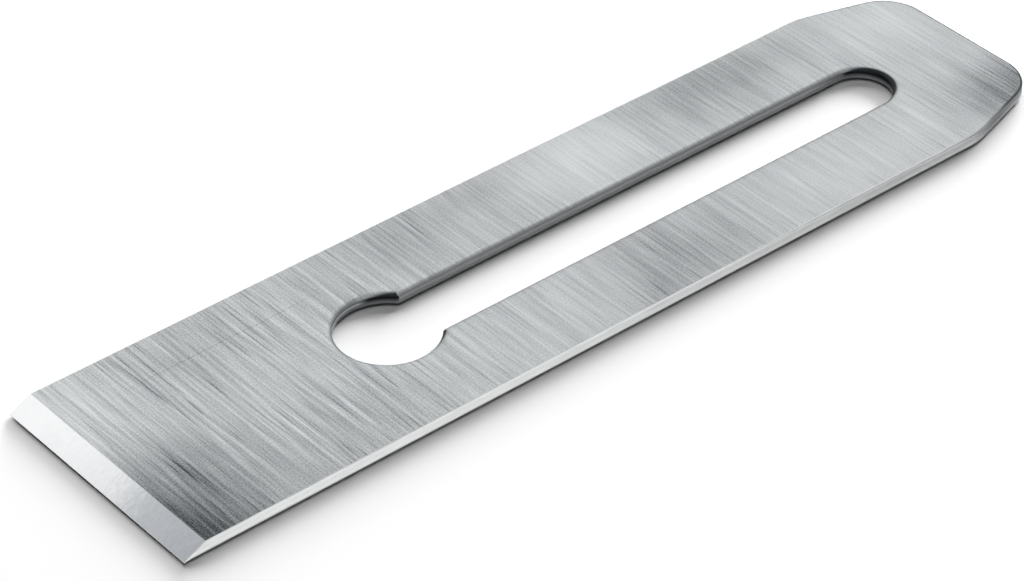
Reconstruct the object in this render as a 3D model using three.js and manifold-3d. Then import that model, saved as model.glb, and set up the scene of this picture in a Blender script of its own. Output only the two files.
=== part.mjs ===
// The cutting iron of a bench plane: a flat steel blade with a ground bevel at
// one end, a tapered and rounded top end, and a keyhole slot for the cap iron's
// clamping screw.
//
// Millimetres, +Z up. The iron lies on its flat back with the bevel upwards:
//   +X  from the cutting edge to the tapered top end, the origin half way
//   +Y  across the iron, the origin on its centre line
//   z=0 the flat back
//
// It is made the way the real one is: a blank stamped from plate, whose upper
// edges are rolled over by the punch, ground flat on its back and then ground
// to a bevel.

import * as THREE from 'three';
import { mergeVertices } from 'three/addons/utils/BufferGeometryUtils.js';
import Module from 'manifold-3d';

// ---- driving dimensions (mm, degrees) ----

const LENGTH = 182; // cutting edge to top end
const WIDTH = 44.45; // between the straight long sides
const THICKNESS = 1.98; // bevel-side face to flat back
const BEVEL_ANGLE = 26; // between the bevel and the flat back

const TAPER_LENGTH = 18.5; // how far the top end's taper runs along the iron
const TOP_END_WIDTH = 33.2; // where the tapers would meet the top end, unrounded
const TOP_CORNER_RADIUS = 8; // the two corners of the top end
const SHOULDER_RADIUS = 16; // where each long side turns into its taper

const SLOT_WIDTH = 11.1; // clears the shank of the clamping screw
const TOP_WEB = 19; // steel left between the slot's end and the top end
const KEYHOLE_DIAMETER = 17.3; // passes the head of the clamping screw
const KEYHOLE_FROM_EDGE = 55.4; // cutting edge to the centre of the keyhole
const THROAT_RADIUS = 1; // softens the corners where the slot meets the keyhole

const ROLLED_EDGE_WIDTH = 0.5; // the punch's rounding, measured across the face
const ROLLED_EDGE_DEPTH = 0.3; // and measured down the side

const ARC_STEP = 7.5; // degrees of turn for each straight stretch of an arc
const ROLLED_EDGE_STEPS = 3; // flats around the rolled edge
const GRINDING_OVERRUN = 5; // how far grinding shapes pass beyond the steel

// ---- sizes that follow from them ----

const EDGE_X = -LENGTH / 2;
const TOP_X = LENGTH / 2;
const SHOULDER_X = TOP_X - TAPER_LENGTH;
const HALF_WIDTH = WIDTH / 2;
const SLOT_RADIUS = SLOT_WIDTH / 2;
const SLOT_END_X = TOP_X - TOP_WEB - SLOT_RADIUS;
const KEYHOLE_RADIUS = KEYHOLE_DIAMETER / 2;
const KEYHOLE_X = EDGE_X + KEYHOLE_FROM_EDGE;
const GRINDING_WIDTH = WIDTH + 2 * GRINDING_OVERRUN;

const { abs, atan2, ceil, cos, PI, sin, sqrt, tan } = Math;
const toRadians = THREE.MathUtils.degToRad;

// ---- outlines ----

// Points along an arc about a centre, both ends included.
function arcPoints(centre, radius, startAngle, endAngle) {
  const turn = endAngle - startAngle;
  const steps = ceil(abs(turn) / toRadians(ARC_STEP));
  const points = [];
  for (let i = 0; i <= steps; i++) {
    const angle = startAngle + (turn * i) / steps;
    const x = centre.x + radius * cos(angle);
    const y = centre.y + radius * sin(angle);
    points.push(new THREE.Vector2(x, y));
  }
  return points;
}

// The arc that rounds one corner of an outline.
function roundedCorner(before, corner, after, radius) {
  const toBefore = before.clone().sub(corner).normalize();
  const toAfter = after.clone().sub(corner).normalize();
  const halfAngle = toBefore.angleTo(toAfter) / 2;
  const bisector = toBefore.clone().add(toAfter).normalize();
  const centre = corner.clone().addScaledVector(bisector, radius / sin(halfAngle));
  const tangentLength = radius / tan(halfAngle);
  const start = corner.clone().addScaledVector(toBefore, tangentLength).sub(centre);
  const end = corner.clone().addScaledVector(toAfter, tangentLength).sub(centre);
  const startAngle = atan2(start.y, start.x);
  const turn = atan2(start.cross(end), start.dot(end));
  return arcPoints(centre, radius, startAngle, startAngle + turn);
}

// The blank's outer outline, anticlockwise. It runs on past the cutting edge,
// where the bevel is ground afterwards.
function blankOutline() {
  const halfEnd = TOP_END_WIDTH / 2;
  const stockX = EDGE_X - GRINDING_OVERRUN;
  const nearStock = new THREE.Vector2(stockX, -HALF_WIDTH);
  const nearShoulder = new THREE.Vector2(SHOULDER_X, -HALF_WIDTH);
  const nearCorner = new THREE.Vector2(TOP_X, -halfEnd);
  const farCorner = new THREE.Vector2(TOP_X, halfEnd);
  const farShoulder = new THREE.Vector2(SHOULDER_X, HALF_WIDTH);
  const farStock = new THREE.Vector2(stockX, HALF_WIDTH);
  return [
    nearStock,
    ...roundedCorner(nearStock, nearShoulder, nearCorner, SHOULDER_RADIUS),
    ...roundedCorner(nearShoulder, nearCorner, farCorner, TOP_CORNER_RADIUS),
    ...roundedCorner(nearCorner, farCorner, farShoulder, TOP_CORNER_RADIUS),
    ...roundedCorner(farCorner, farShoulder, farStock, SHOULDER_RADIUS),
    farStock,
  ];
}

// The keyhole slot's outline, clockwise. Each throat fillet touches the round
// keyhole from outside and the slot's straight side from the steel's side.
function keyholeSlotOutline() {
  const filletY = SLOT_RADIUS + THROAT_RADIUS;
  const reach = KEYHOLE_RADIUS + THROAT_RADIUS;
  const filletX = KEYHOLE_X + sqrt(reach ** 2 - filletY ** 2);
  const throatAngle = atan2(filletY, filletX - KEYHOLE_X);
  const keyhole = new THREE.Vector2(KEYHOLE_X, 0);
  const slotEnd = new THREE.Vector2(SLOT_END_X, 0);
  const farFillet = new THREE.Vector2(filletX, filletY);
  const nearFillet = new THREE.Vector2(filletX, -filletY);
  return [
    ...arcPoints(slotEnd, SLOT_RADIUS, PI / 2, -PI / 2),
    ...arcPoints(nearFillet, THROAT_RADIUS, PI / 2, PI - throatAngle),
    ...arcPoints(keyhole, KEYHOLE_RADIUS, -throatAngle, throatAngle - 2 * PI).slice(1),
    ...arcPoints(farFillet, THROAT_RADIUS, throatAngle - PI, -PI / 2).slice(1),
  ];
}

// ---- solids ----

// A geometry as a manifold solid, with its shared vertices merged.
function toSolid(wasm, geometry) {
  const bare = geometry.clone();
  bare.deleteAttribute('normal');
  bare.deleteAttribute('uv');
  const merged = mergeVertices(bare);
  const mesh = new wasm.Mesh({
    numProp: 3,
    vertProperties: new Float32Array(merged.attributes.position.array),
    triVerts: new Uint32Array(merged.index.array),
  });
  return new wasm.Manifold(mesh);
}

// A manifold solid as a three.js geometry.
function toGeometry(solid) {
  const { vertProperties, triVerts } = solid.getMesh();
  const geometry = new THREE.BufferGeometry();
  geometry.setAttribute('position', new THREE.BufferAttribute(vertProperties, 3));
  geometry.setIndex(new THREE.BufferAttribute(triVerts, 1));
  geometry.computeVertexNormals();
  return geometry;
}

// The stamped blank. Its lower edge is rounded like the upper one, but hangs
// below the flat back, where grinding removes it.
function stampedBlank() {
  const shape = new THREE.Shape(blankOutline());
  shape.holes.push(new THREE.Path(keyholeSlotOutline()));
  return new THREE.ExtrudeGeometry(shape, {
    depth: THICKNESS - ROLLED_EDGE_DEPTH,
    bevelEnabled: true,
    bevelThickness: ROLLED_EDGE_DEPTH,
    bevelSize: ROLLED_EDGE_WIDTH,
    bevelOffset: -ROLLED_EDGE_WIDTH,
    bevelSegments: ROLLED_EDGE_STEPS,
  });
}

// What grinding the back removes: everything below z = 0.
function backGrinding() {
  const length = LENGTH + 4 * GRINDING_OVERRUN;
  const geometry = new THREE.BoxGeometry(length, GRINDING_WIDTH, GRINDING_OVERRUN);
  return geometry.translate(0, 0, -GRINDING_OVERRUN / 2);
}

// What grinding the bevel removes: a wedge above the plane that rises from the
// cutting edge at the bevel angle, with the stock beyond the edge.
function bevelGrinding() {
  const run = 1 / tan(toRadians(BEVEL_ANGLE));
  const top = THICKNESS + GRINDING_OVERRUN;
  const bottom = -GRINDING_OVERRUN;
  const beyondStock = EDGE_X - 2 * GRINDING_OVERRUN + bottom * run;
  const profile = new THREE.Shape([
    new THREE.Vector2(EDGE_X + bottom * run, bottom),
    new THREE.Vector2(EDGE_X + top * run, top),
    new THREE.Vector2(beyondStock, top),
    new THREE.Vector2(beyondStock, bottom),
  ]);
  const geometry = new THREE.ExtrudeGeometry(profile, {
    depth: GRINDING_WIDTH,
    bevelEnabled: false,
  });
  return geometry.rotateX(PI / 2).translate(0, GRINDING_WIDTH / 2, 0);
}

function planeIron(wasm) {
  const blank = toSolid(wasm, stampedBlank());
  const flatBacked = blank.subtract(toSolid(wasm, backGrinding()));
  const iron = flatBacked.subtract(toSolid(wasm, bevelGrinding()));
  const steel = new THREE.MeshStandardMaterial({
    color: 0xb4b8ba,
    roughness: 0.35,
    metalness: 1,
  });
  const mesh = new THREE.Mesh(toGeometry(iron), steel);
  mesh.name = 'plane_iron';
  return mesh;
}

// ---- the part ----

const wasm = await Module();
wasm.setup();

const part = new THREE.Group();
part.add(planeIron(wasm));

export default part;
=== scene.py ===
"""A bench plane's cutting iron in ground steel, lying bevel up on a pale studio floor.

Metres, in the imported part's frame: +X from the cutting edge to the top end, +Y across
the iron, +Z up, and the flat back at z = 0.
"""

import math

import bpy
from mathutils import Matrix, Vector, noise
from mathutils.geometry import tessellate_polygon


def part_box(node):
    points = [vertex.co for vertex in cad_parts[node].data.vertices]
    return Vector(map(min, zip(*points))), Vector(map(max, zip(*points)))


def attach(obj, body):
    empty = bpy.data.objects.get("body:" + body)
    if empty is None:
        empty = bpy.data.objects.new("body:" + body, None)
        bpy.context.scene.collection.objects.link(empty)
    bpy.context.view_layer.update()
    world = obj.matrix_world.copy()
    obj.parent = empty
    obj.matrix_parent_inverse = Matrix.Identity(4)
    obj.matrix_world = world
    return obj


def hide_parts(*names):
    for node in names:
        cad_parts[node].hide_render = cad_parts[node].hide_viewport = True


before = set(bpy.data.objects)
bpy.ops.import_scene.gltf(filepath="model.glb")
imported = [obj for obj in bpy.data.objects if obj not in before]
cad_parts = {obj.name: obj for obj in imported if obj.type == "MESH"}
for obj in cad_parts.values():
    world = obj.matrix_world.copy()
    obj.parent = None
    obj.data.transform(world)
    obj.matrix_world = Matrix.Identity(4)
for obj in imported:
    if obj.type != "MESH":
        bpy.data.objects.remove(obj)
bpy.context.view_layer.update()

MM = 0.001

# ---- sizes from the frame ----

LOW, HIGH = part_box("plane_iron")
EDGE_X, TOP_X = LOW.x, HIGH.x
HALF_WIDTH = HIGH.y
THICKNESS = HIGH.z - LOW.z

# ---- the outline, as the CAD part has it ----

BEVEL_SLOPE = math.tan(math.radians(26))
TAPER_LENGTH = 18.5 * MM
TOP_END_WIDTH = 33.2 * MM
TOP_CORNER_RADIUS = 8 * MM
SHOULDER_RADIUS = 16 * MM
SLOT_RADIUS = 5.55 * MM
TOP_WEB = 19 * MM
KEYHOLE_RADIUS = 8.65 * MM
KEYHOLE_FROM_EDGE = 55.4 * MM
THROAT_RADIUS = 1 * MM

SHOULDER_X = TOP_X - TAPER_LENGTH
SLOT_END_X = TOP_X - TOP_WEB - SLOT_RADIUS
KEYHOLE_X = EDGE_X + KEYHOLE_FROM_EDGE

# ---- the edges' fine shape ----

EDGE_LAND = 0.03 * MM  # height of the honed cutting edge
HEEL_X = EDGE_X + (THICKNESS - EDGE_LAND) / BEVEL_SLOPE
ARC_STEP = math.radians(3)
STATION_STEP = 1.5 * MM  # between columns of points along a straight side
SUPPORT = 0.03 * MM  # a flat margin that keeps the faces' shading flat
ROLL_STEPS = 8  # facets around a rolled upper edge
BREAK_STEPS = 3  # facets around a broken lower edge

CRISP_EDGE = 0.1 * MM  # upper edge of the long sides near the cutting edge
ROLL_WIDTH = 0.38 * MM  # rolled upper edge of the sides near the top end
ROLL_DEPTH = 0.3 * MM
ROLL_BEGINS = 100 * MM  # from the cutting edge: where the crisp edge starts to roll
ROLL_FULL = 135 * MM
DIE_ROLL_WIDTH = 1.25 * MM  # the punched slot's rounded upper edge
DIE_ROLL_ANGLE = math.radians(42)  # how steep it gets before it drops into the wall
DIE_CORNER = 0.15 * MM  # radius of that last corner
LOWER_BREAK = 0.12 * MM  # broken edge around the back
FRACTURE_HEIGHT = 0.75 * MM  # torn lower part of the punched slot's wall
FRACTURE_DEPTH = 0.07 * MM
FRACTURE_ROUGHNESS = 0.03 * MM
LARGEST_SHARE = 0.3  # of a thin wall's height that a roll or a break may take

OUTER_ROWS = (0.75, 0.5, 0.25)  # rows of points down the outer wall, as shares of it
BURNISHED_ROWS = (0.66, 0.33)  # the same down the burnished part of the slot's wall
TORN_ROWS = (1.0, 0.9, 0.7, 0.5, 0.3)  # and down the torn part
TEAR_OPENS = 0.3  # share of the torn part over which it recedes
TEAR_ROUGHENS = 0.2  # share of the torn part over which it gets rough
TEAR_SIZE = 0.8 * MM
TEAR_SQUEEZE = 3  # how much shorter the tears are in height

# ---- the studio ----

FLOOR_GAP = 0.4 * MM  # keeps the floor clear of the flat back
FLOOR_SIZE = 3.0
FLOOR_COLOUR = (0.9, 0.9, 0.9, 1)
FLOOR_ROUGHNESS = 0.9
FLOOR_SHINE = 0.1

ROOM_GLOW = 0.10  # radiance of the room where nothing lights it
# Soft lights that only the steel's reflections show, in degrees from +X towards +Y and
# above the floor: (azimuth, elevation, full within, gone beyond, radiance).
ROOM_LIGHTS = [
    (60, 22, 25, 70, 0.80),
    (-20, 45, 15, 60, 0.32),
    (190, 25, 10, 45, 0.30),
    (230, 35, 20, 65, 0.55),
    (230, 75, 10, 40, 0.35),
]

# Area lights that face the iron: name, size in metres, radiance, then where they stand
# as (azimuth, elevation, distance in metres, roll), and whether they light the floor or
# only show in the steel.
AREA_LIGHTS = [
    ("back_light", (4.0, 1.9), 3.5, (50, 27, 2.2, 0), True),
    ("low_light", (1.6, 0.3), 66, (27, 16, 2.2, -28), True),
    ("top_light", (1.2, 1.2), 1.5, (50, 90, 1.8, 0), True),
    ("bevel_card", (0.5, 0.5), 0.66, (108, 50, 1.2, 0), False),
]
# A card that lies on the floor beside the near side, which mirrors it.
SIDE_CARD_SIZE = (0.22, 0.05)
SIDE_CARD_GAP = 0.3 * MM
SIDE_CARD_RADIANCE = 0.5

CAMERA_TARGET = Vector((-14.73, -5.21, 1.98)) * MM
CAMERA_DISTANCE = 603.9 * MM
CAMERA_AZIMUTH = math.radians(49.78)  # of the view direction, from +X towards +Y
CAMERA_ELEVATION = math.radians(37.34)
CAMERA_LENS = 135.53  # mm, on a sensor 36 mm wide
CAMERA_CLIP = 10 * MM


# ---- outlines ----

def smooth_ramp(value, begin, end):
    """0 before begin, 1 after end, and a smooth rise between them."""
    share = min(max((value - begin) / (end - begin), 0.0), 1.0)
    return share * share * (3 - 2 * share)


def arc(centre, radius, start, end):
    """Points along an arc, both ends included."""
    steps = max(2, math.ceil(abs(end - start) / ARC_STEP))
    angles = [start + (end - start) * i / steps for i in range(steps + 1)]
    return [centre + radius * Vector((math.cos(a), math.sin(a))) for a in angles]


def rounded_corner(before, corner, after, radius):
    """The arc that rounds one corner of an outline."""
    to_before = (before - corner).normalized()
    to_after = (after - corner).normalized()
    half_angle = to_before.angle(to_after) / 2
    centre = corner + (to_before + to_after).normalized() * radius / math.sin(half_angle)
    reach = radius / math.tan(half_angle)
    start = corner + to_before * reach - centre
    end = corner + to_after * reach - centre
    turn = math.atan2(start.x * end.y - start.y * end.x, start.dot(end))
    angle = math.atan2(start.y, start.x)
    return arc(centre, radius, angle, angle + turn)


def divided(points, step):
    """A closed outline with points added so that no stretch is longer than step."""
    result = []
    for here, there in zip(points, points[1:] + points[:1]):
        parts = max(1, math.ceil((there - here).length / step))
        result += [here.lerp(there, i / parts) for i in range(parts)]
    return result


def outer_outline():
    """Anticlockwise from the near cutting corner, with a point at each end of the heel."""
    half_end = TOP_END_WIDTH / 2
    near_edge, far_edge = Vector((EDGE_X, -HALF_WIDTH)), Vector((EDGE_X, HALF_WIDTH))
    near_heel, far_heel = Vector((HEEL_X, -HALF_WIDTH)), Vector((HEEL_X, HALF_WIDTH))
    corners = [
        near_heel,
        Vector((SHOULDER_X, -HALF_WIDTH)),
        Vector((TOP_X, -half_end)),
        Vector((TOP_X, half_end)),
        Vector((SHOULDER_X, HALF_WIDTH)),
        far_heel,
    ]
    radii = [SHOULDER_RADIUS, TOP_CORNER_RADIUS, TOP_CORNER_RADIUS, SHOULDER_RADIUS]
    points = [near_edge, near_heel]
    for i, radius in enumerate(radii, start=1):
        points += rounded_corner(*corners[i - 1:i + 2], radius)
    return divided(points + [far_heel, far_edge], STATION_STEP)


def slot_outline():
    """Clockwise: the slot's round end, its near side, the keyhole and its far side."""
    fillet_y = SLOT_RADIUS + THROAT_RADIUS
    fillet_x = math.sqrt((KEYHOLE_RADIUS + THROAT_RADIUS) ** 2 - fillet_y ** 2)
    throat = math.atan2(fillet_y, fillet_x)
    keyhole = Vector((KEYHOLE_X, 0))
    near_fillet = keyhole + Vector((fillet_x, -fillet_y))
    far_fillet = keyhole + Vector((fillet_x, fillet_y))
    points = arc(Vector((SLOT_END_X, 0)), SLOT_RADIUS, math.pi / 2, -math.pi / 2)
    points += arc(near_fillet, THROAT_RADIUS, math.pi / 2, math.pi - throat)
    points += arc(keyhole, KEYHOLE_RADIUS, -throat, throat - 2 * math.pi)[1:]
    points += arc(far_fillet, THROAT_RADIUS, throat - math.pi, -math.pi / 2)[1:]
    return divided(points, STATION_STEP)


def outward_steps(points):
    """For each point, the move that takes its outline out of the steel by one unit."""
    steps = []
    for before, here, after in zip(points[-1:] + points[:-1], points, points[1:] + points[:1]):
        first = (here - before).normalized()
        second = (after - here).normalized()
        normals = Vector((first.y, -first.x)), Vector((second.y, -second.x))
        steps.append((normals[0] + normals[1]) / (1 + normals[0].dot(normals[1])))
    return steps


# ---- the wall's section at a point of an outline ----

def top_height(x):
    """Height of the upper surface: the bevel up to its heel, then the face."""
    return min(THICKNESS, EDGE_LAND + (x - EDGE_X) * BEVEL_SLOPE)


def swept(radius, start, end, steps):
    """Points (inwards, down) along an edge's arc, from its start tilt to its end tilt."""
    tilts = [start + (end - start) * i / steps for i in range(steps + 1)]
    return [
        (radius * (math.sin(t) - math.sin(start)), radius * (math.cos(start) - math.cos(t)))
        for t in tilts
    ]


def oval_roll(width, depth):
    """A rounded upper edge: rows of (distance from the wall, drop)."""
    quarter = swept(1.0, 0.0, math.pi / 2, ROLL_STEPS)
    return [(width * (1 - inwards), depth * drop) for inwards, drop in quarter]


def die_roll():
    """The wide shallow rounding that a punch leaves, ending in a tight corner."""
    turned = math.sin(DIE_ROLL_ANGLE)
    radius = (DIE_ROLL_WIDTH - DIE_CORNER * (1 - turned)) / turned
    rows = swept(radius, 0.0, DIE_ROLL_ANGLE, ROLL_STEPS)
    far, low = rows[-1]
    corner = swept(DIE_CORNER, DIE_ROLL_ANGLE, math.pi / 2, ROLL_STEPS // 2)
    rows += [(far + inwards, low + drop) for inwards, drop in corner[1:]]
    return [(DIE_ROLL_WIDTH - inwards, drop) for inwards, drop in rows]


def section(roll, lower_break, wall):
    """(depth into the steel, drop below the top or None, height or None) down a wall.

    The upper rolled edge is measured from the top, the rest from the back.
    """
    rows = [(roll[0][0] + SUPPORT, 0.0, None)]
    rows += [(inset, drop, None) for inset, drop in roll]
    rows += [(inset, None, height) for inset, height in wall]
    foot = wall[-1][0]
    for inwards, drop in swept(lower_break, 0.0, math.pi / 2, BREAK_STEPS):
        rows.append((foot + drop, None, lower_break - inwards))
    return rows + [(foot + lower_break + SUPPORT, None, 0.0)]


def outer_section(point):
    """The iron's outer wall: crisp near the cutting edge and rolled near the top end."""
    height = top_height(point.x)
    limit = height * LARGEST_SHARE
    roll = smooth_ramp(point.x - EDGE_X, ROLL_BEGINS, ROLL_FULL)
    width = min(limit, CRISP_EDGE) * (1 - roll) + ROLL_WIDTH * roll
    depth = min(limit, CRISP_EDGE) * (1 - roll) + ROLL_DEPTH * roll
    lower_break = min(limit, LOWER_BREAK)
    span = height - depth - lower_break
    wall = [(0.0, lower_break + span * share) for share in OUTER_ROWS]
    return section(oval_roll(width, depth), lower_break, wall)


def slot_section(point):
    """The punched slot's wall: rolled, then burnished, then torn open towards the back."""
    roll = die_roll()
    span = THICKNESS - roll[-1][1] - FRACTURE_HEIGHT
    wall = [(0.0, FRACTURE_HEIGHT + span * share) for share in BURNISHED_ROWS]
    for share in TORN_ROWS:
        height = share * FRACTURE_HEIGHT
        place = Vector((point.x, point.y, height * TEAR_SQUEEZE)) / TEAR_SIZE
        torn = FRACTURE_DEPTH * smooth_ramp(1 - share, 0.0, TEAR_OPENS)
        rough = FRACTURE_ROUGHNESS * noise.noise(place) * min(1.0, (1 - share) / TEAR_ROUGHENS)
        wall.append((torn + rough, height))
    return section(roll, LOWER_BREAK, wall)


# ---- the mesh ----

FACE, BEVEL, SIDES, SLOT_WALL, BACK = range(5)


class SteelMesh:
    """Collects points and faces with their materials."""

    def __init__(self):
        self.points, self.faces, self.materials, self.smooth = [], [], [], []

    def add_point(self, point):
        self.points.append(point)
        return len(self.points) - 1

    def add_face(self, corners, material, smooth):
        self.faces.append(corners)
        self.materials.append(material)
        self.smooth.append(smooth)

    def add_wall(self, outline, section_of, material):
        """One closed wall. Returns the point numbers of its first and last rows."""
        columns = []
        for point, out in zip(outline, outward_steps(outline)):
            column = []
            for inset, drop, height in section_of(point):
                place = point - out * inset
                z = top_height(place.x) - drop if height is None else height
                column.append(self.add_point(Vector((place.x, place.y, z))))
            columns.append(column)
        for here, there in zip(columns, columns[1:] + columns[:1]):
            for a, b, c, d in zip(here, here[1:], there[1:], there):
                self.add_face((a, b, c, d), material, True)
        return [c[0] for c in columns], [c[-1] for c in columns]

    def add_flat(self, loops, material, upward):
        """A flat region with holes, in triangles."""
        numbers = [number for loop in loops for number in loop]
        flat_loops = [[Vector((*self.points[n].xy, 0)) for n in loop] for loop in loops]
        for triangle in tessellate_polygon(flat_loops):
            corners = [numbers[i] for i in triangle]
            a, b, c = (self.points[n].xy for n in corners)
            if ((b - a).cross(c - a) > 0) != upward:
                corners.reverse()
            self.add_face(corners, material, False)

    def make(self, name, materials):
        mesh = bpy.data.meshes.new(name)
        mesh.from_pydata(self.points, [], self.faces)
        for material in materials:
            mesh.materials.append(material)
        mesh.polygons.foreach_set("material_index", self.materials)
        mesh.polygons.foreach_set("use_smooth", self.smooth)
        mesh.update()
        piece = bpy.data.objects.new(name, mesh)
        bpy.context.scene.collection.objects.link(piece)
        return piece


def build_iron(materials):
    steel = SteelMesh()
    outer = outer_outline()
    outer_top, outer_back = steel.add_wall(outer, outer_section, SIDES)
    slot_top, slot_back = steel.add_wall(slot_outline(), slot_section, SLOT_WALL)
    on_heel = [i for i, point in enumerate(outer) if abs(point.x - HEEL_X) < SUPPORT]
    near_heel, far_heel = on_heel
    steel.add_flat([outer_top[near_heel:far_heel + 1], slot_top], FACE, True)
    steel.add_flat([outer_top[far_heel:] + outer_top[:near_heel + 1]], BEVEL, True)
    steel.add_flat([outer_back, slot_back], BACK, False)
    return steel.make("ground_iron", materials)


# ---- materials ----

NOISE_MIDDLE = (0.5, 0.5, 0.5)
WANDER_DETAIL = 2.0


class SteelNodes:
    """A short way to write one steel material's nodes, in the row frame's coordinates."""

    def __init__(self, name):
        self.material = bpy.data.materials.new(name)
        self.material.use_nodes = True
        self.tree = self.material.node_tree
        self.tree.nodes.clear()
        self.place = self.add("ShaderNodeTexCoord").outputs["Object"]
        self.xyz = self.add("ShaderNodeSeparateXYZ", {"Vector": self.place}).outputs

    def add(self, kind, inputs=None, **settings):
        node = self.tree.nodes.new(kind)
        for name, value in settings.items():
            setattr(node, name, value)
        for name, value in (inputs or {}).items():
            if isinstance(value, bpy.types.NodeSocket):
                self.tree.links.new(value, node.inputs[name])
            else:
                node.inputs[name].default_value = value
        return node

    def math(self, operation, *values):
        inputs = dict(enumerate(values))
        return self.add("ShaderNodeMath", inputs, operation=operation).outputs[0]

    def total(self, *values):
        result = values[0]
        for value in values[1:]:
            result = self.math("ADD", result, value)
        return result

    def ramp(self, value, begin, end, low=0.0, high=1.0):
        """low before begin, high after end, and a smooth change between them."""
        return self.add(
            "ShaderNodeMapRange",
            {0: value, 1: begin, 2: end, 3: low, 4: high},
            interpolation_type="SMOOTHSTEP",
        ).outputs[0]

    def grain(self, size, detail, offset):
        """Noise from about -1 to 1 whose marks have the given size in mm along X, Y and Z."""
        scale = [1 / (s * MM) for s in size]
        mapped = self.add(
            "ShaderNodeMapping",
            {"Vector": self.place, "Scale": scale, "Location": (offset, offset, offset)},
        ).outputs[0]
        texture = self.add(
            "ShaderNodeTexNoise", {"Vector": mapped, "Scale": 1.0, "Detail": detail}
        ).outputs[0]
        return self.math("MULTIPLY_ADD", texture, 2.0, -1.0)

    def scaled(self, value, amount):
        return self.math("MULTIPLY", value, amount)

    def mixed(self, start, grains):
        """start plus every grain times its amount."""
        return self.total(start, *(self.scaled(self.grain(*g), amount) for g, amount in grains))

    def patch(self, place, middle, reach, amount):
        """A soft oval of the given amount. Sizes in mm, x from the cutting edge."""
        centre = (EDGE_X + middle[0] * MM, middle[1] * MM, 0)
        scale = (1 / (reach[0] * MM), 1 / (reach[1] * MM), 0)
        offset = self.add(
            "ShaderNodeVectorMath", {0: place, 1: centre}, operation="SUBTRACT"
        ).outputs[0]
        shaped = self.add(
            "ShaderNodeVectorMath", {0: offset, 1: scale}, operation="MULTIPLY"
        ).outputs[0]
        distance = self.add(
            "ShaderNodeVectorMath", {0: shaped}, operation="LENGTH"
        ).outputs["Value"]
        return self.ramp(distance, 0.0, 1.0, amount, 0.0)

    def scratch(self, place, start, end, width, amount):
        """A thin straight mark from start to end that fades at both ends. Sizes in mm."""
        start, end = Vector(start) * MM, Vector(end) * MM
        start.x += EDGE_X
        end.x += EDGE_X
        run = (end - start).normalized()
        side = Vector((-run.y, run.x))
        offset = self.add(
            "ShaderNodeVectorMath", {0: place, 1: (*start, 0)}, operation="SUBTRACT"
        ).outputs[0]
        along, across = (
            self.add(
                "ShaderNodeVectorMath", {0: offset, 1: (*way, 0)}, operation="DOT_PRODUCT"
            ).outputs["Value"]
            for way in (run, side)
        )
        length = (end - start).length
        fade = length * SCRATCH_FADE
        line = self.ramp(self.math("ABSOLUTE", across), 0.0, width * MM, amount, 0.0)
        begins = self.ramp(along, 0.0, fade)
        ends = self.ramp(along, length - fade, length, 1.0, 0.0)
        return self.math("MULTIPLY", line, self.math("MULTIPLY", begins, ends))

    def wandering(self, size, amount):
        """The row frame's place, pushed about by noise so that what uses it looks uneven."""
        texture = self.add(
            "ShaderNodeTexNoise",
            {"Vector": self.place, "Scale": 1 / size, "Detail": WANDER_DETAIL},
        ).outputs["Color"]
        centred = self.add(
            "ShaderNodeVectorMath", {0: texture, 1: NOISE_MIDDLE}, operation="SUBTRACT"
        ).outputs[0]
        pushed = self.add(
            "ShaderNodeVectorMath", {0: centred, "Scale": amount}, operation="SCALE"
        ).outputs[0]
        return self.add(
            "ShaderNodeVectorMath", {0: self.place, 1: pushed}, operation="ADD"
        ).outputs[0]

    def finish(self, dark, light, tone, roughness, height, depth, anisotropy=0, grind=None):
        """The steel shader.

        tone mixes dark and light, height is in units of depth, and anisotropy is how much
        grinding along the direction grind stretches the reflections.
        """
        colour = self.add(
            "ShaderNodeMix",
            {0: tone, 6: (*dark, 1), 7: (*light, 1)},
            data_type="RGBA", clamp_factor=True,
        ).outputs[2]
        bump = self.add(
            "ShaderNodeBump", {"Height": height, "Distance": depth, "Strength": 1.0}
        ).outputs[0]
        shader = self.add(
            "ShaderNodeBsdfPrincipled",
            {"Base Color": colour, "Metallic": 1.0, "Roughness": roughness, "Normal": bump},
        )
        if anisotropy:
            shader.inputs["Anisotropic"].default_value = anisotropy
            tangent = self.add("ShaderNodeCombineXYZ", dict(enumerate(grind)))
            self.tree.links.new(tangent.outputs[0], shader.inputs["Tangent"])
        output = self.add("ShaderNodeOutputMaterial")
        self.tree.links.new(shader.outputs[0], output.inputs[0])
        return self.material


# Grains: (size of the marks in mm along X, Y and Z, detail, offset that sets them apart).
ENDLESS = 1000  # mm: the marks don't change this way
FACE_LINES = ((0.22, 8, ENDLESS), 3.0, 0.0)
FACE_STREAKS = ((0.70, 20, ENDLESS), 3.0, 7.0)
FACE_GOUGES = ((0.45, 15, ENDLESS), 1.0, 21.0)
FACE_SPECKLE = ((0.22, 0.32, ENDLESS), 2.0, 4.0)
FACE_BANDS = ((3.5, 70, ENDLESS), 2.0, 13.0)
FACE_CLOUDS = ((30, 22, ENDLESS), 2.0, 3.0)
BEVEL_LINES = ((2.5, 0.16, ENDLESS), 3.0, 0.0)
BEVEL_MOTTLE = ((0.9, 0.5, 0.9), 3.0, 6.0)
BEVEL_CLOUDS = ((6, 5, 6), 2.0, 3.0)
SIDE_LINES = ((4, 4, 0.12), 3.0, 0.0)
SIDE_CLOUDS = ((7, 7, 0.8), 2.0, 3.0)
SLOT_LINES = ((0.25, 0.25, 1.2), 3.0, 0.0)
SLOT_PITS = ((0.18, 0.18, 0.18), 3.0, 5.0)
BACK_LINES = ((0.2, 8, ENDLESS), 3.0, 0.0)
BACK_CLOUDS = ((22, 15, ENDLESS), 2.0, 9.0)

ALONG, ACROSS = (1.0, 0.0, 0.0), (0.0, 1.0, 0.0)  # the ways the steel was ground

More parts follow.
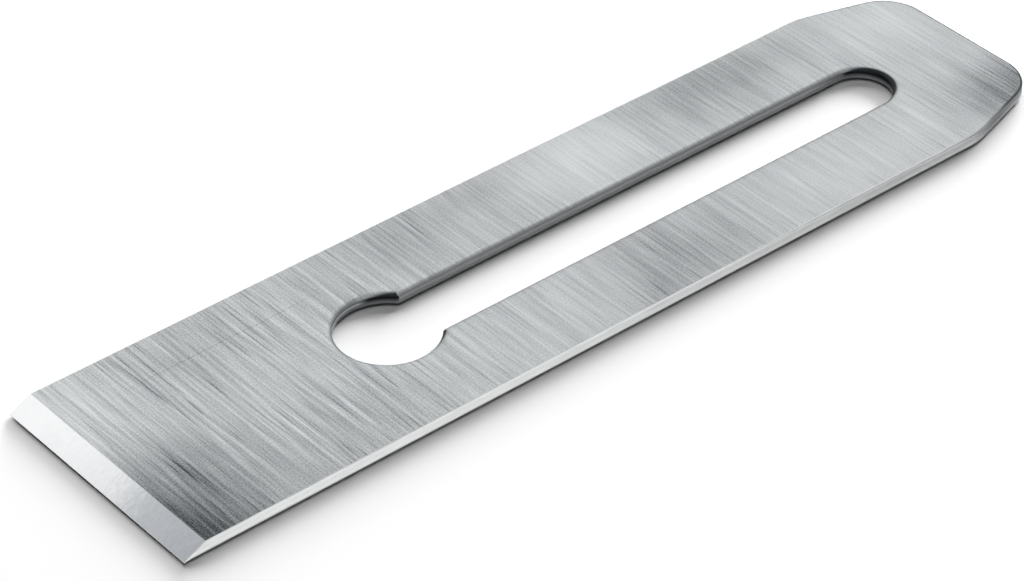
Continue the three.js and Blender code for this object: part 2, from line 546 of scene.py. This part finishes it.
# In what follows a tone of 0 is a finish's dark colour and 1 is its light colour, a list
# of grains is (grain, amount), and a ramp is (begins, ends, before, after).

# ---- the face ----

# Painted reflections on the face: a painted dark reflection at the near corner by the cutting
# edge,
# then lighter and darker patches: (middle, reach, how much lighter), in mm, with x from the
# cutting edge.
FACE_PAINTED_DARK_CORNER = [
    ((0, -24), (46, 34), -0.28),
    ((4, -19), (19, 27), -0.34),
]
FACE_PAINTED_REFLECTIONS = [
    ((7, 17), (14, 16), 0.14),
    ((30, 14), (22, 12), -0.06),
    ((40, -18), (22, 16), -0.11),
    ((70, 17), (20, 12), -0.14),
    ((88, 19), (12, 8), -0.10),
    ((108, 15), (18, 14), 0.17),
    ((140, 17), (27, 12), -0.23),
    ((174, 12), (14, 14), 0.14),
    ((74, -16), (14, 11), 0.04),
    ((104, -15), (22, 17), -0.26),
    ((143, -16), (24, 12), 0.09),
    ((175, -16), (17, 14), -0.28),
    ((177, -19), (13, 10), -0.15),
    ((93, -22), (9, 8), -0.12),
    ((181, -12), (7, 8), -0.12),
]
# Deeper marks: (start, end, width, how much lighter), in mm.
FACE_SCRATCHES = [
    ((18.2, 22), (18.6, 3), 0.26, -0.34),
    ((21.3, 20), (21.7, 4), 0.20, -0.30),
    ((10.5, 6), (11.0, -9), 0.18, -0.24),
    ((34.4, 19), (34.8, 6), 0.24, -0.28),
    ((37.8, 16), (38.1, 4), 0.22, -0.30),
    ((44.8, 20), (45.2, 7), 0.20, -0.26),
    ((27.5, 2), (28.0, -14), 0.18, -0.22),
    ((31.0, -4), (31.4, -19), 0.18, 0.16),
    ((14.8, -3), (15.2, -18), 0.18, 0.18),
    ((52.4, 21), (52.7, 12), 0.18, -0.24),
    ((8, 13.5), (58, 13.9), 0.15, -0.20),
]
SCRATCH_FADE = 0.35  # share of a scratch's length that fades, at each end
PATCH_WANDER = (14 * MM, 9 * MM)  # size and reach of the noise that bends the patches
SCRATCH_WANDER = (5 * MM, 0.5 * MM)
FACE_DARK = (0.053, 0.060, 0.068)
FACE_LIGHT = (0.77, 0.80, 0.812)
FACE_TONE = 0.685
FACE_GRAIN = [(FACE_LINES, 0.26), (FACE_STREAKS, 0.47), (FACE_SPECKLE, 0.30)]
FACE_UNEVEN = [(FACE_CLOUDS, 0.08), (FACE_BANDS, 0.08), (FACE_SPECKLE, 0.11)]
GOUGED = (0.20, 0.5, 0.0, -0.30)  # by the gouges' grain
COARSENESS = (EDGE_X + 25 * MM, EDGE_X + 100 * MM, 1.0, 0.5)  # along the iron
PATCH_COARSENESS = -0.8  # how much coarser a lighter patch is
CORNER_COARSENESS = 0.7
FACE_ROUGHNESS = 0.32
FACE_ROUGHNESS_GRAIN = [(FACE_STREAKS, 0.05), (FACE_CLOUDS, 0.04)]
FACE_RELIEF = [(FACE_STREAKS, 1.5), (FACE_LINES, 1.0)]
FACE_RELIEF_DEPTH = 0.0016 * MM
FACE_ANISOTROPY = 0.5


def face_tone(n):
    """How light the ground face is, most coarsely marked near the cutting edge, with painted
    reflections as soft lighter and darker patches.
    """
    uneven = n.wandering(*PATCH_WANDER)
    # painted reflections: a dark one at the near corner, then lighter and darker patches
    corner = n.total(*(n.patch(uneven, *patch) for patch in FACE_PAINTED_DARK_CORNER))
    painted_reflections = n.total(*(n.patch(uneven, *patch) for patch in FACE_PAINTED_REFLECTIONS))
    straying = n.wandering(*SCRATCH_WANDER)
    scratches = [n.scratch(straying, *scratch) for scratch in FACE_SCRATCHES]
    gouges = n.ramp(n.grain(*FACE_GOUGES), *GOUGED)
    coarseness = n.total(
        n.ramp(n.xyz["X"], *COARSENESS),
        n.scaled(painted_reflections, PATCH_COARSENESS), n.scaled(corner, CORNER_COARSENESS),
    )
    grain = n.math("MULTIPLY", n.mixed(gouges, FACE_GRAIN), coarseness)
    return n.total(n.mixed(FACE_TONE, FACE_UNEVEN), grain, corner, painted_reflections, *scratches)


def face_steel():
    """The face, surface ground across the iron."""
    n = SteelNodes("steel_face")
    roughness = n.mixed(FACE_ROUGHNESS, FACE_ROUGHNESS_GRAIN)
    relief = n.mixed(0.0, FACE_RELIEF)
    return n.finish(
        FACE_DARK, FACE_LIGHT, face_tone(n), roughness, relief, FACE_RELIEF_DEPTH,
        FACE_ANISOTROPY, ACROSS,
    )


# ---- the bevel ----

BEVEL_DARK = (0.29, 0.31, 0.34)
BEVEL_LIGHT = (0.95, 0.965, 0.97)
BEVEL_TONE = 0.41
BEVEL_PAINTED_SHEEN_RISE = 9.0  # painted sheen: this much lighter per metre across the iron
BEVEL_PAINTED_HIGHLIGHT = (-12 * MM, 1 * MM, 0.0, 0.43)  # painted highlight that lightens the far side, across the iron
BEVEL_WANDER = [(BEVEL_CLOUDS, 3 * MM), (BEVEL_MOTTLE, 3 * MM)]
BEVEL_GRAIN = [(BEVEL_LINES, 0.12), (BEVEL_MOTTLE, 0.06)]
BEVEL_ROUGHNESS = 0.30
BEVEL_ROUGHNESS_GRAIN = [(BEVEL_CLOUDS, 0.03)]
BEVEL_RELIEF_DEPTH = 0.001 * MM
BEVEL_ANISOTROPY = 0.3


def bevel_steel():
    """The bevel, ground along the iron, finer than the face, with a painted highlight that
    lightens it towards the far side.
    """
    n = SteelNodes("steel_bevel")
    across = n.mixed(n.xyz["Y"], BEVEL_WANDER)
    tone = n.total(
        n.mixed(BEVEL_TONE, BEVEL_GRAIN), n.scaled(across, BEVEL_PAINTED_SHEEN_RISE),
        n.ramp(across, *BEVEL_PAINTED_HIGHLIGHT),
    )
    roughness = n.mixed(BEVEL_ROUGHNESS, BEVEL_ROUGHNESS_GRAIN)
    return n.finish(
        BEVEL_DARK, BEVEL_LIGHT, tone, roughness, n.grain(*BEVEL_LINES), BEVEL_RELIEF_DEPTH,
        BEVEL_ANISOTROPY, ALONG,
    )


# ---- the sides ----

SIDE_DARK = (0.05, 0.06, 0.065)
SIDE_LIGHT = (0.94, 0.95, 0.95)
SIDE_TONE = 0.775
BELOW_ROLL = (THICKNESS - 0.12 * MM, THICKNESS - ROLL_DEPTH, 0.0, 1.0)  # by height
SIDE_FOOT_PAINTED_REFLECTION = (THICKNESS * 0.6, 0.0, 0.0, 0.32)  # by height: a painted reflection that lightens the foot
SIDE_DULLER = (EDGE_X + 30 * MM, EDGE_X + 170 * MM, 0.0, -0.41)  # along the iron
# Darker below the roll past the shoulder, along the iron.
END_WALL_DARKER = (SHOULDER_X - 8 * MM, SHOULDER_X + 6 * MM, 0.0, -0.22)
# Painted shade on the rolled upper edge towards the top end, along the iron.
END_ROLL_PAINTED_SHADE = (SHOULDER_X - 12 * MM, SHOULDER_X + 16 * MM, 0.0, -0.73)
SIDE_GRAIN = [(SIDE_LINES, 0.11), (SIDE_CLOUDS, 0.09)]
SIDE_ROUGHNESS = 0.42
SIDE_ROUGHNESS_GRAIN = [(SIDE_CLOUDS, 0.04)]
SIDE_RELIEF_DEPTH = 0.001 * MM


def side_steel():
    """The sides: ground bright near the cutting edge and left duller near the top end,
    lightened towards the foot by a painted reflection, with painted shade on the roll near the
    top end.
    """
    n = SteelNodes("steel_sides")
    along, height = n.xyz["X"], n.xyz["Z"]
    below_roll = n.ramp(height, *BELOW_ROLL)
    on_roll = n.math("SUBTRACT", 1.0, below_roll)
    duller = n.total(n.ramp(along, *SIDE_DULLER), n.ramp(along, *END_WALL_DARKER))
    tone = n.total(
        n.mixed(SIDE_TONE, SIDE_GRAIN),
        n.math("MULTIPLY", duller, below_roll),
        n.math("MULTIPLY", n.ramp(along, *END_ROLL_PAINTED_SHADE), on_roll),
        n.ramp(height, *SIDE_FOOT_PAINTED_REFLECTION),
    )
    roughness = n.mixed(SIDE_ROUGHNESS, SIDE_ROUGHNESS_GRAIN)
    return n.finish(
        SIDE_DARK, SIDE_LIGHT, tone, roughness, n.grain(*SIDE_LINES), SIDE_RELIEF_DEPTH,
    )


# ---- the slot's wall ----

SLOT_DARK = (0.009, 0.012, 0.014)
WALL_TONE = 0.37
FACE_LIKE = (THICKNESS - 0.55 * MM, THICKNESS, 0.0, 1.0)  # by height, as are these four
TORN = (FRACTURE_HEIGHT, FRACTURE_HEIGHT * 0.85, 0.0, 1.0)
BURNISH_FOOT = (FRACTURE_HEIGHT * 0.8, FRACTURE_HEIGHT * 1.15, 0.0, 1.0)
BURNISH_TOP = (FRACTURE_HEIGHT * 1.7, FRACTURE_HEIGHT * 1.3, 0.0, 1.0)
TURNED_SHADE = (FRACTURE_HEIGHT * 0.6, FRACTURE_HEIGHT * 1.6, 0.8, 0.02)
KEYHOLE_PAINTED_HIGHLIGHT = (KEYHOLE_X + 3 * MM, KEYHOLE_X - 1 * MM, 0.15, 1.3)  # painted highlight on the keyhole's wall, along the iron
TURNED = (-0.10, -0.36, 0.0, 1.0)  # by how far the wall faces along X
TURNED_FACE_TONE = 0.05  # share of the face's tone that a turned wall keeps
WALL_LINES_AMOUNT = 0.05
TORN_TONE = 0.16
PITS_AMOUNT = 0.14
PITS_RELIEF = 6.0
WALL_ROUGHNESS = 0.30
TORN_ROUGHNESS = 0.2
WALL_RELIEF_DEPTH = 0.0015 * MM


def slot_steel():
    """The punched wall: like the face above its roll, burnished, then torn below.

    Where the wall faces the cutting edge its tone is shaded, since little light gets there.
    """
    n = SteelNodes("steel_slot_wall")
    height = n.xyz["Z"]
    torn = n.ramp(height, *TORN)
    # A lighter band where the burnished part meets the torn part: partly its own shine, partly
    # a painted highlight, made much stronger on the keyhole's wall.
    burnished = n.math("MULTIPLY", n.ramp(height, *BURNISH_FOOT), n.ramp(height, *BURNISH_TOP))
    burnish_and_painted_sheen = n.math("MULTIPLY", burnished, n.ramp(n.xyz["X"], *KEYHOLE_PAINTED_HIGHLIGHT))
    facing = n.add("ShaderNodeNewGeometry").outputs["Normal"]
    facing_x = n.add("ShaderNodeSeparateXYZ", {"Vector": facing}).outputs["X"]
    turned = n.ramp(facing_x, *TURNED)
    lost = n.math("SUBTRACT", n.ramp(height, *TURNED_SHADE), 1.0)
    shade = n.math("MULTIPLY_ADD", turned, lost, 1.0)
    lines = n.grain(*SLOT_LINES)
    torn_pits = n.math("MULTIPLY", n.grain(*SLOT_PITS), torn)
    wall = n.total(
        WALL_TONE, burnish_and_painted_sheen, n.scaled(torn, TORN_TONE),
        n.scaled(lines, WALL_LINES_AMOUNT), n.scaled(torn_pits, PITS_AMOUNT),
    )
    shaded = n.math("MULTIPLY", wall, shade)
    above = n.math("SUBTRACT", face_tone(n), shaded)
    kept = n.math("MULTIPLY_ADD", turned, TURNED_FACE_TONE - 1.0, 1.0)
    face_like = n.math("MULTIPLY", n.ramp(height, *FACE_LIKE), kept)
    tone = n.math("MULTIPLY_ADD", face_like, above, shaded)
    roughness = n.math("MULTIPLY_ADD", torn, TORN_ROUGHNESS, WALL_ROUGHNESS)
    relief = n.math("MULTIPLY_ADD", torn_pits, PITS_RELIEF, lines)
    return n.finish(SLOT_DARK, FACE_LIGHT, tone, roughness, relief, WALL_RELIEF_DEPTH)


# ---- the back ----

BACK_DARK = (0.34, 0.36, 0.38)
BACK_LIGHT = (0.66, 0.68, 0.69)
BACK_TONE = 0.6
POLISHED = (EDGE_X + 24 * MM, EDGE_X + 18 * MM, 0.0, 1.0)  # along the iron
POLISHED_GRAIN = 0.3  # share of the grain that polishing leaves
POLISHED_ROUGHNESS = -0.12
BACK_LINES_AMOUNT = 0.32
BACK_CLOUDS_AMOUNT = 0.16
BACK_ROUGHNESS = 0.32
BACK_ROUGHNESS_GRAIN = [(BACK_CLOUDS, 0.03)]
BACK_RELIEF_DEPTH = 0.0015 * MM
BACK_ANISOTROPY = 0.4


def back_steel():
    """The flat back, finely ground across the iron and polished behind the edge."""
    n = SteelNodes("steel_back")
    polished = n.ramp(n.xyz["X"], *POLISHED)
    left = n.math("MULTIPLY_ADD", polished, POLISHED_GRAIN - 1.0, 1.0)
    lines = n.math("MULTIPLY", n.grain(*BACK_LINES), left)
    tone = n.total(
        n.mixed(BACK_TONE, [(BACK_CLOUDS, BACK_CLOUDS_AMOUNT)]),
        n.scaled(lines, BACK_LINES_AMOUNT),
    )
    duller = n.mixed(BACK_ROUGHNESS, BACK_ROUGHNESS_GRAIN)
    roughness = n.math("MULTIPLY_ADD", polished, POLISHED_ROUGHNESS, duller)
    return n.finish(
        BACK_DARK, BACK_LIGHT, tone, roughness, lines, BACK_RELIEF_DEPTH,
        BACK_ANISOTROPY, ACROSS,
    )


# ---- studio ----

def floor_material():
    material = bpy.data.materials.new("pale_floor")
    material.use_nodes = True
    shader = material.node_tree.nodes["Principled BSDF"]
    shader.inputs["Base Color"].default_value = FLOOR_COLOUR
    shader.inputs["Roughness"].default_value = FLOOR_ROUGHNESS
    shader.inputs["Specular IOR Level"].default_value = FLOOR_SHINE
    return material


def add_floor():
    half = FLOOR_SIZE / 2
    corners = [(-half, -half), (half, -half), (half, half), (-half, half)]
    mesh = bpy.data.meshes.new("floor")
    mesh.from_pydata([(x, y, LOW.z - FLOOR_GAP) for x, y in corners], [], [(0, 1, 2, 3)])
    mesh.materials.append(floor_material())
    floor = bpy.data.objects.new("floor", mesh)
    bpy.context.scene.collection.objects.link(floor)


def direction(azimuth, elevation):
    """A unit vector: azimuth in degrees from +X towards +Y, elevation above the floor."""
    azimuth, elevation = math.radians(azimuth), math.radians(elevation)
    level = math.cos(elevation)
    return Vector((level * math.cos(azimuth), level * math.sin(azimuth), math.sin(elevation)))


def add_area_light(name, size, radiance, placed, lights_floor):
    """A rectangular light for the floor, or one that only the steel's reflections show."""
    light = bpy.data.lights.new(name, "AREA")
    light.shape = "RECTANGLE"
    light.size, light.size_y = size
    light.energy = radiance * math.pi * size[0] * size[1]
    holder = bpy.data.objects.new(name, light)
    holder.matrix_world = placed
    holder.visible_camera = False
    holder.visible_diffuse = lights_floor
    holder.visible_glossy = not lights_floor
    bpy.context.scene.collection.objects.link(holder)


def facing_iron(azimuth, elevation, distance, roll):
    """Where a light stands that faces the iron, in degrees and metres."""
    towards = direction(azimuth, elevation)
    turn = towards.to_track_quat("Z", "Y").to_matrix().to_4x4()
    spin = Matrix.Rotation(math.radians(roll), 4, "Z")
    return Matrix.Translation(towards * distance) @ turn @ spin


def lying_beside():
    """Where a card lies on the floor along the near side, facing up."""
    y = -HALF_WIDTH - SIDE_CARD_GAP - SIDE_CARD_SIZE[1] / 2
    middle = Vector((0, y, LOW.z - FLOOR_GAP / 2))
    return Matrix.Translation(middle) @ Matrix.Rotation(math.pi, 4, "X")


def add_world():
    """What the steel reflects: a dim room with a few soft lights around it."""
    world = bpy.data.worlds.new("studio")
    bpy.context.scene.world = world
    world.use_nodes = True
    world.cycles_visibility.diffuse = False
    nodes, links = world.node_tree.nodes, world.node_tree.links
    place = nodes.new("ShaderNodeTexCoord").outputs["Generated"]
    strength = nodes.new("ShaderNodeValue").outputs[0]
    strength.default_value = ROOM_GLOW
    for azimuth, elevation, full, gone, radiance in ROOM_LIGHTS:
        towards = nodes.new("ShaderNodeVectorMath")
        towards.operation = "DOT_PRODUCT"
        towards.inputs[1].default_value = direction(azimuth, elevation)
        spread = nodes.new("ShaderNodeMapRange")
        spread.interpolation_type = "SMOOTHSTEP"
        spread.inputs["From Min"].default_value = math.cos(math.radians(gone))
        spread.inputs["From Max"].default_value = math.cos(math.radians(full))
        spread.inputs["To Max"].default_value = radiance
        added = nodes.new("ShaderNodeMath")
        links.new(place, towards.inputs[0])
        links.new(towards.outputs["Value"], spread.inputs["Value"])
        links.new(strength, added.inputs[0])
        links.new(spread.outputs["Result"], added.inputs[1])
        strength = added.outputs[0]
    links.new(strength, nodes["Background"].inputs["Strength"])
    nodes["Background"].inputs["Color"].default_value = (1.0, 1.0, 1.0, 1)


def add_camera():
    level = math.cos(CAMERA_ELEVATION)
    view = Vector((
        level * math.cos(CAMERA_AZIMUTH),
        level * math.sin(CAMERA_AZIMUTH),
        -math.sin(CAMERA_ELEVATION),
    ))
    camera = bpy.data.cameras.new("camera")
    camera.lens = CAMERA_LENS
    camera.clip_start = CAMERA_CLIP
    holder = bpy.data.objects.new("camera", camera)
    turn = view.to_track_quat("-Z", "Y")
    place = CAMERA_TARGET - view * CAMERA_DISTANCE
    holder.matrix_world = Matrix.Translation(place) @ turn.to_matrix().to_4x4()
    bpy.context.scene.collection.objects.link(holder)
    bpy.context.scene.camera = holder


def main():
    bpy.context.scene.view_settings.view_transform = "Standard"
    add_camera()
    add_world()
    add_floor()
    for name, size, radiance, stand, lights_floor in AREA_LIGHTS:
        add_area_light(name, size, radiance, facing_iron(*stand), lights_floor)
    add_area_light("side_card", SIDE_CARD_SIZE, SIDE_CARD_RADIANCE, lying_beside(), False)

    materials = [face_steel(), bevel_steel(), side_steel(), slot_steel(), back_steel()]
    iron = build_iron(materials)
    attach(iron, "root")
    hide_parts("plane_iron")


main()
